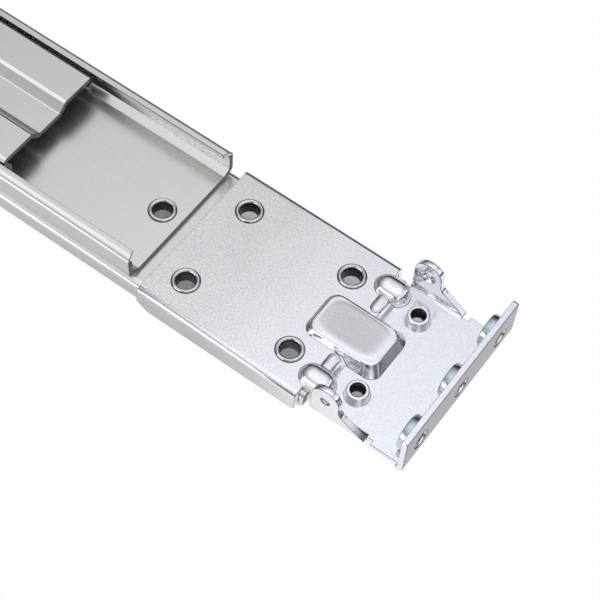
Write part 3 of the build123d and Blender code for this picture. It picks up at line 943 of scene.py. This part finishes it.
@dataclass
class Threads:
    """The clinch nuts, and the skins of the end plate's tapped collars.

    Sizes are in millimetres. A lead is the plain wall before the first or the last step of the
    bore. Plain is how far the thread stops short of a bore's ends, and dark is how far beyond
    the bore's radius a face still gets the bore's painted shade.
    """

    nut_radius: float = 4.3
    nut_height: float = 2.3
    nut_chamfer: float = 0.5
    nut_shoulder: Pair = (0.35, 0.3)
    nut_foot: float = 0.12
    nut_mouth: float = 0.35
    nut_bore: float = 2.5
    nut_lead: float = 0.3
    nut_pitch: float = 1.0
    nut_depth: float = 0.46
    nut_plain: float = 0.2
    nut_dark: float = 0.1
    nut_y: tuple[float, ...] = (-15.875, 0.0, 15.875)
    rear_face: float = -1.5
    rear_z: float = 0.0
    front_face: float = -668.5
    front_z: float = -11.3
    collar_x: float = -18.3
    collar_y: tuple[float, ...] = (10.8, -13.2)
    collar_bore: float = 1.85
    collar_crest: float = 1.6
    collar_pitch: float = 0.7
    collar_low: float = -6.05
    collar_top: float = -2.05
    collar_rim: float = 2.68
    collar_skirt: float = 3.02
    collar_flare: float = 0.14
    collar_brim: float = 0.42
    collar_wall: float = 0.2
    collar_sunk: float = 0.05
    collar_slope_deg: float = 10.0
    collar_lead: Pair = (0.1, 0.05)
    collar_step: float = 0.09
    collar_gap: float = 0.02
    collar_plain: float = 0.15
    collar_dark: float = 0.05
    plate_level: float = -4.69
    segments: int = 72
    pitch_steps: int = 8
    flare_steps: int = 6
    brim_steps: int = 8
    sharp_deg: float = 35.0

    def nut(self) -> bmesh.types.BMesh:
        """Turn one nut that stands on the flange, with a threaded bore.

        Returns:
            The nut, with its seat at level 0 and its free end up.
        """
        top = self.nut_height
        radius = self.nut_radius
        chamfer = self.nut_chamfer
        shoulder = (radius - chamfer * self.nut_shoulder[0], top - chamfer * self.nut_shoulder[1])
        profile = [(radius - self.nut_foot, 0), (radius, self.nut_foot), (radius, top - chamfer), shoulder]
        profile += [(radius - chamfer, top), (self.nut_bore + self.nut_mouth, top)]
        wall = levels(top - self.nut_lead, self.nut_lead, self.nut_pitch / self.pitch_steps)
        profile += [(self.nut_bore, level) for level in wall] + [(self.nut_bore, 0.0)]
        form = turned(profile, self.segments)
        plain = self.nut_plain
        cut_thread(form, self.nut_bore, self.nut_depth, self.nut_pitch, (plain, top - plain))
        return form

    def collar(self) -> bmesh.types.BMesh:
        """Turn one collar's skin: a flared foot, a rounded brim and a threaded bore.

        Returns:
            The skin, about the Z axis at its own level.
        """
        flare = self.collar_flare
        brim = self.collar_brim
        slope = self.collar_slope_deg
        shoulder = self.collar_top - brim
        low = self.collar_low
        inside = self.collar_bore + self.collar_wall
        foot = (self.collar_skirt + flare, self.plate_level + flare)
        profile = [(inside, low), (inside, self.plate_level - self.collar_sunk)]
        profile += arc(foot, (flare, flare), 270, 180 + slope, self.flare_steps)
        profile += arc((self.collar_rim - brim, shoulder), (brim, brim), slope, 90, self.brim_steps)
        profile += arc((self.collar_crest + brim, shoulder), (brim, brim), 90, 180 - slope, self.brim_steps)
        wall = levels(shoulder - self.collar_lead[1], low + self.collar_lead[0], self.collar_step)
        profile += [(self.collar_crest, level) for level in wall]
        form = turned(profile, self.segments)
        depth = self.collar_bore - self.collar_crest - self.collar_gap
        plain = self.collar_plain
        cut_thread(form, self.collar_crest, depth, self.collar_pitch, (low + plain, shoulder - plain))
        return form

    def make(self, finishes: Finishes) -> None:
        """Build the nuts of both flanges and the collars' skins.

        Args:
            finishes: The shared materials.
        """
        flanges = (
            ("rear_clinch_nuts", "rear_flange_nuts", "cabinet_side", self.rear_face, self.rear_z, -90),
            ("front_clinch_nuts", "front_flange_nuts", "depth_bracket", self.front_face, self.front_z, 90),
        )
        for name, node, body, face, level, turn in flanges:
            upright = Matrix.Rotation(math.radians(turn), 4, "Y")
            places = [Matrix.Translation((face * MM, y * MM, level * MM)) @ upright for y in self.nut_y]
            piece = gather(name, self.nut(), places, self.sharp_deg)
            hand_over(piece, body, finishes[Extra.NUT], (node,))
            darken_bores(piece, finishes[Extra.BORE], self.nut_bore + self.nut_depth + self.nut_dark, "X")
        places = [Matrix.Translation((self.collar_x * MM, y * MM, 0)) for y in self.collar_y]
        piece = gather("tapped_collars", self.collar(), places, self.sharp_deg)
        hand_over(piece, "cabinet_side", finishes[Slot.PLATE])
        darken_bores(piece, finishes[Extra.BORE], self.collar_bore + self.collar_dark, "Z")


@dataclass
class Fasteners:
    """Rivets, washers, the buffer and the lever's spring."""

    plated: tuple[str, ...] = ("slot_rivets", "lever_rivet", "lever_spring", "cage_stop_rivets")
    moulded: tuple[str, ...] = ("slot_washers", "closing_buffer")

    def dress(self, finishes: Finishes) -> None:
        """Give the fasteners their finishes.

        Args:
            finishes: The shared materials.
        """
        for node in self.plated:
            dress_node(node, finishes[Slot.FASTENER])
        for node in self.moulded:
            dress_node(node, finishes[Slot.NYLON])


@dataclass
class RunningGear:
    """Balls, cages and the release lever."""

    balls: tuple[str, ...] = ("balls_near", "balls_far")
    cages: tuple[str, ...] = ("ball_cage_near", "ball_cage_far")
    lever: str = "release_lever"

    def dress(self, finishes: Finishes) -> None:
        """Give the running gear its finishes.

        Args:
            finishes: The shared materials.
        """
        for node in self.balls:
            dress_node(node, finishes[Slot.BALL])
        for node in self.cages:
            dress_node(node, finishes[Slot.CAGE])
        dress_node(self.lever, finishes[Slot.LEVER])


@dataclass(frozen=True)
class Softbox:
    """An oblong lamp that points at the origin. Its glow is the brightness of its face."""

    name: str
    place: Point
    width: float
    depth: float
    glow: float

    def hang(self) -> None:
        """Add the lamp to the scene, out of the camera's sight."""
        lamp = bpy.data.lights.new(self.name, "AREA")
        lamp.shape = "RECTANGLE"
        lamp.size = self.width
        lamp.size_y = self.depth
        lamp.energy = self.glow * math.pi * self.width * self.depth
        item = bpy.data.objects.new(self.name, lamp)
        item.location = self.place
        item.rotation_euler = (-Vector(self.place)).to_track_quat("-Z", "Y").to_euler()
        item.visible_camera = False
        bpy.context.scene.collection.objects.link(item)


@dataclass(frozen=True)
class Flag:
    """A dark card that stands upright and faces along one axis, X or Y."""

    name: str
    place: Point
    axis: str
    width: float
    height: float
    tone: str
    roughness: float = 0.9

    def material(self) -> bpy.types.Material:
        """Build the card's dull finish.

        Returns:
            The finished material.
        """
        material, tree = blank_material(self.name + "_card")
        tone = linear(self.tone)
        shader = add_node(tree, "ShaderNodeBsdfPrincipled", Base_Color=tone, Roughness=self.roughness)
        add_node(tree, "ShaderNodeOutputMaterial", Surface=shader.outputs[0])
        return material

    def form(self) -> bmesh.types.BMesh:
        """Cut the card from a sheet of one square metre, turn it and move it to its place.

        Returns:
            The card.
        """
        form = bmesh.new()
        half_metre = 0.5
        bmesh.ops.create_grid(form, x_segments=1, y_segments=1, size=half_metre)
        bmesh.ops.scale(form, verts=form.verts, vec=(self.width, self.height, 1))
        away = Vector((self.axis == "X", self.axis == "Y", 0))
        turn = away.to_track_quat("Z", "Y").to_matrix()
        bmesh.ops.rotate(form, verts=form.verts, cent=(0, 0, 0), matrix=turn)
        bmesh.ops.translate(form, verts=form.verts, vec=self.place)
        return form


def set_up(name: str, form: bmesh.types.BMesh, material: bpy.types.Material) -> bpy.types.Object:
    """Make one piece of the studio.

    Args:
        name: Its name.
        form: Its form. It is freed.
        material: Its finish.

    Returns:
        The piece.
    """
    mesh = bpy.data.meshes.new(name)
    form.to_mesh(mesh)
    form.free()
    mesh.materials.append(material)
    piece = bpy.data.objects.new(name, mesh)
    bpy.context.scene.collection.objects.link(piece)
    return piece


def show_in_mirrors_only(piece: bpy.types.Object) -> None:
    """Let a piece of the studio be seen in the metal, and cast no light or shadow.

    Args:
        piece: The piece.
    """
    piece.visible_camera = False
    piece.visible_diffuse = False
    piece.visible_shadow = False


@dataclass
class Studio:
    """Pale floor, white sky, a soft lamp, a tent, dark cards and the camera of the photograph.

    Lengths are in metres where no unit is named. The shade is the strip of floor under the
    rail. Each tone of the tent is its brightness at so many degrees above the floor, by the
    side that it is on: far or near across the rail, at its flange end, or back along it. The
    tint changes the red and the blue of the cloth, the more the brighter it is.
    """

    floor_half: float = 6.0
    floor_colour: str = "E2E2E2"
    floor_seen: float = 0.975
    floor_mirrored: Pair = (0.05, 0.8)
    floor_mirrored_from: Pair = (-0.045, -0.025)
    shade_middle: float = 0.0045
    shade_half: Pair = (0.0165, 0.0205)
    shade_end: Pair = (-0.0085, -0.0045)
    shade_front: Pair = (-0.645, -0.655)
    focal_pixels: float = 1675.73
    picture_pixels: float = 600.0
    sensor_mm: float = 36.0
    clip: Pair = (0.01, 50.0)
    heading_deg: float = 121.764
    pitch_deg: float = 58.743
    roll_deg: float = 5.016
    target_mm: Point = (-43.224, -0.266, -6.2)
    distance_mm: float = 384.046
    surroundings: float = 0.95
    lamps: tuple[Softbox, ...] = (
        Softbox("near_softbox", (-0.55, -1.1, 0.26), width=1.1, depth=0.6, glow=1.8),
    )
    tent_radius: float = 2.5
    tent_segments: tuple[int, int] = (48, 24)
    tent_foot: float = -0.1
    tent_glow: float = 2.0
    tent_seams: Pair = (0.35, 0.65)
    tent_tint: Pair = (-0.04, 0.1)
    tent_sides: tuple[tuple[str, str, int], ...] = (("near", "Y", -1), ("end", "X", 1), ("back", "X", -1))
    tent_tones: tuple[tuple[str, tuple[Pair, ...]], ...] = (
        ("far", ((0, 0.02), (18, 0.03), (30, 0.12), (45, 0.3), (54, 0.38), (61, 0.48), (70, 0.54))),
        ("near", ((0, 0.05), (16, 0.06), (30, 0.2), (45, 0.36), (61, 0.5))),
        ("end", ((0, 0.02), (8, 0.04), (13, 0.5), (24, 0.55), (40, 0.36), (61, 0.48))),
        ("back", ((0, 0.06), (15, 0.1), (35, 0.22), (54, 0.36), (61, 0.48))),
    )
    flags: tuple[Flag, ...] = (
        Flag("end_flag", (0.12, 0.03, 0.0), "X", width=0.26, height=0.036, tone="161618"),
        Flag("far_flag", (-0.3, 0.14, 0.015), "Y", width=1.3, height=0.066, tone="202022"),
    )

    def paper(self) -> bpy.types.Material:
        """Build the floor's finish.

        The camera sees it almost white. The metal sees it bright past the rail's flange end
        and dark along the rail. Under the rail it is plain paper in its shadow.

        Returns:
            The finished material.
        """
        material, tree = blank_material("floor_pale_paper")
        parts = add_node(tree, "ShaderNodeSeparateXYZ", Vector=object_place(tree))
        along = parts.outputs["X"]
        ray = add_node(tree, "ShaderNodeLightPath")
        bounced = (ray.outputs["Is Glossy Ray"], ray.outputs["Is Transmission Ray"])
        mirrored = calculate(tree, "MAXIMUM", *bounced)
        toward_end = remap(tree, along, self.floor_mirrored_from, self.floor_mirrored)
        mirrored = calculate(tree, "MULTIPLY", mirrored, toward_end)
        direct = calculate(tree, "MULTIPLY", ray.outputs["Is Camera Ray"], self.floor_seen)
        seen = calculate(tree, "MAXIMUM", direct, mirrored)
        across = calculate(tree, "SUBTRACT", parts.outputs["Y"], self.shade_middle)
        across = calculate(tree, "ABSOLUTE", across)
        open_floor = remap(tree, across, self.shade_half)
        for edge in (self.shade_end, self.shade_front):
            open_floor = calculate(tree, "MAXIMUM", open_floor, remap(tree, along, edge))
        share = calculate(tree, "MULTIPLY", seen, open_floor)
        plain = add_node(tree, "ShaderNodeBsdfDiffuse", Color=linear(self.floor_colour))
        white = add_node(tree, "ShaderNodeEmission", Color=WHITE, Strength=1.0)
        mixed = add_node(tree, "ShaderNodeMixShader", Fac=share)
        tree.links.new(plain.outputs[0], mixed.inputs[1])
        tree.links.new(white.outputs[0], mixed.inputs[2])
        add_node(tree, "ShaderNodeOutputMaterial", Surface=mixed.outputs[0])
        return material

    def place_floor(self, level: float) -> None:
        """Lay the floor under the part.

        Args:
            level: Height of the part's lowest point.
        """
        form = bmesh.new()
        bmesh.ops.create_grid(form, x_segments=1, y_segments=1, size=self.floor_half)
        bmesh.ops.translate(form, verts=form.verts, vec=(0, 0, level))
        floor = set_up("floor", form, self.paper())
        floor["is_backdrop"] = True

    def light(self) -> None:
        """Set the white surroundings and hang the soft lamps."""
        world = bpy.data.worlds.new("white_studio")
        bpy.context.scene.world = world
        world.use_nodes = True
        tree = world.node_tree
        tree.nodes.clear()
        sky = add_node(tree, "ShaderNodeBackground", Color=WHITE, Strength=self.surroundings)
        add_node(tree, "ShaderNodeOutputWorld", Surface=sky.outputs[0])
        for lamp in self.lamps:
            lamp.hang()

    def cloth(self) -> bpy.types.Material:
        """Build the tent's glowing cloth, with its tones for each side blended at the seams.

        Returns:
            The finished material.
        """
        material, tree = blank_material("tent_cloth")
        place = object_place(tree)
        unit = add_node(tree, "ShaderNodeVectorMath", operation="NORMALIZE", Vector=place)
        parts = add_node(tree, "ShaderNodeSeparateXYZ", Vector=unit.outputs["Vector"])
        red_tint, blue_tint = self.tent_tint
        rings = {}
        for name, stops in self.tent_tones:
            ring = add_node(tree, "ShaderNodeValToRGB", Fac=parts.outputs["Z"])
            ramp = ring.color_ramp
            while len(ramp.elements) < len(stops):
                ramp.elements.new(0.5)
            for element, (degrees, tone) in zip(ramp.elements, stops):
                element.position = max(0.0, math.sin(math.radians(degrees)))
                element.color = (tone * (1 + red_tint * tone), tone, tone * (1 + blue_tint * tone), 1)
            rings[name] = ring.outputs[0]
        mixed = rings["far"]
        for name, axis, sign in self.tent_sides:
            toward = calculate(tree, "MULTIPLY", parts.outputs[axis], sign)
            toward = remap(tree, toward, self.tent_seams, way="SMOOTHSTEP")
            mixed = blend(tree, toward, mixed, rings[name], "MIX")
        glow = add_node(tree, "ShaderNodeEmission", Color=mixed, Strength=self.tent_glow)
        add_node(tree, "ShaderNodeOutputMaterial", Surface=glow.outputs[0])
        return material

    def pitch_tent(self) -> None:
        """Pitch the tent that the metal mirrors: bright overhead and dark low down."""
        form = bmesh.new()
        around, upward = self.tent_segments
        bmesh.ops.create_uvsphere(form, u_segments=around, v_segments=upward, radius=self.tent_radius)
        bmesh.ops.bisect_plane(
            form,
            geom=form.verts[:] + form.edges[:] + form.faces[:],
            plane_co=(0, 0, self.tent_foot),
            plane_no=(0, 0, -1),
            clear_outer=True,
        )
        tent = set_up("tent", form, self.cloth())
        show_in_mirrors_only(tent)
        tent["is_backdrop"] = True

    def hang_flags(self) -> None:
        """Hang the dark cards that the metal shows as grey edges, out of the camera's sight."""
        for flag in self.flags:
            card = set_up(flag.name, flag.form(), flag.material())
            show_in_mirrors_only(card)
            card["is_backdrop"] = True

    def place_camera(self) -> None:
        """Put the camera where the photograph was taken from."""
        heading = math.radians(self.heading_deg)
        pitch = math.radians(self.pitch_deg)
        roll = math.radians(self.roll_deg)
        ahead = Vector(
            (math.cos(heading) * math.cos(pitch), math.sin(heading) * math.cos(pitch), -math.sin(pitch))
        )
        level_right = Vector((math.sin(heading), -math.cos(heading), 0))
        level_up = level_right.cross(ahead)
        right = math.cos(roll) * level_right + math.sin(roll) * level_up
        above = -math.sin(roll) * level_right + math.cos(roll) * level_up
        place = Vector(self.target_mm) * MM - ahead * self.distance_mm * MM
        turn = Matrix((right, above, -ahead)).transposed().to_4x4()
        data = bpy.data.cameras.new("photo_camera")
        data.sensor_width = self.sensor_mm
        data.lens = self.focal_pixels / self.picture_pixels * self.sensor_mm
        data.clip_start, data.clip_end = self.clip
        camera = bpy.data.objects.new("photo_camera", data)
        camera.matrix_world = Matrix.Translation(place) @ turn
        bpy.context.scene.collection.objects.link(camera)
        bpy.context.scene.camera = camera
        bpy.context.scene.view_settings.view_transform = "Standard"


def main() -> None:
    """Dress the part, light it and set the camera."""
    logging.basicConfig(level=logging.INFO, format="%(name)s: %(message)s")
    cad_box = [list(corner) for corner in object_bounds()]
    finishes = make_finishes()
    Channels().dress(finishes)
    Brackets().dress(finishes)
    Fasteners().dress(finishes)
    Eyelets().make(finishes)
    Threads().make(finishes)
    RunningGear().dress(finishes)
    studio = Studio()
    studio.place_floor(cad_box[0][2])
    studio.light()
    studio.pitch_tent()
    studio.hang_flags()
    studio.place_camera()


if __name__ == "__main__":
    main()
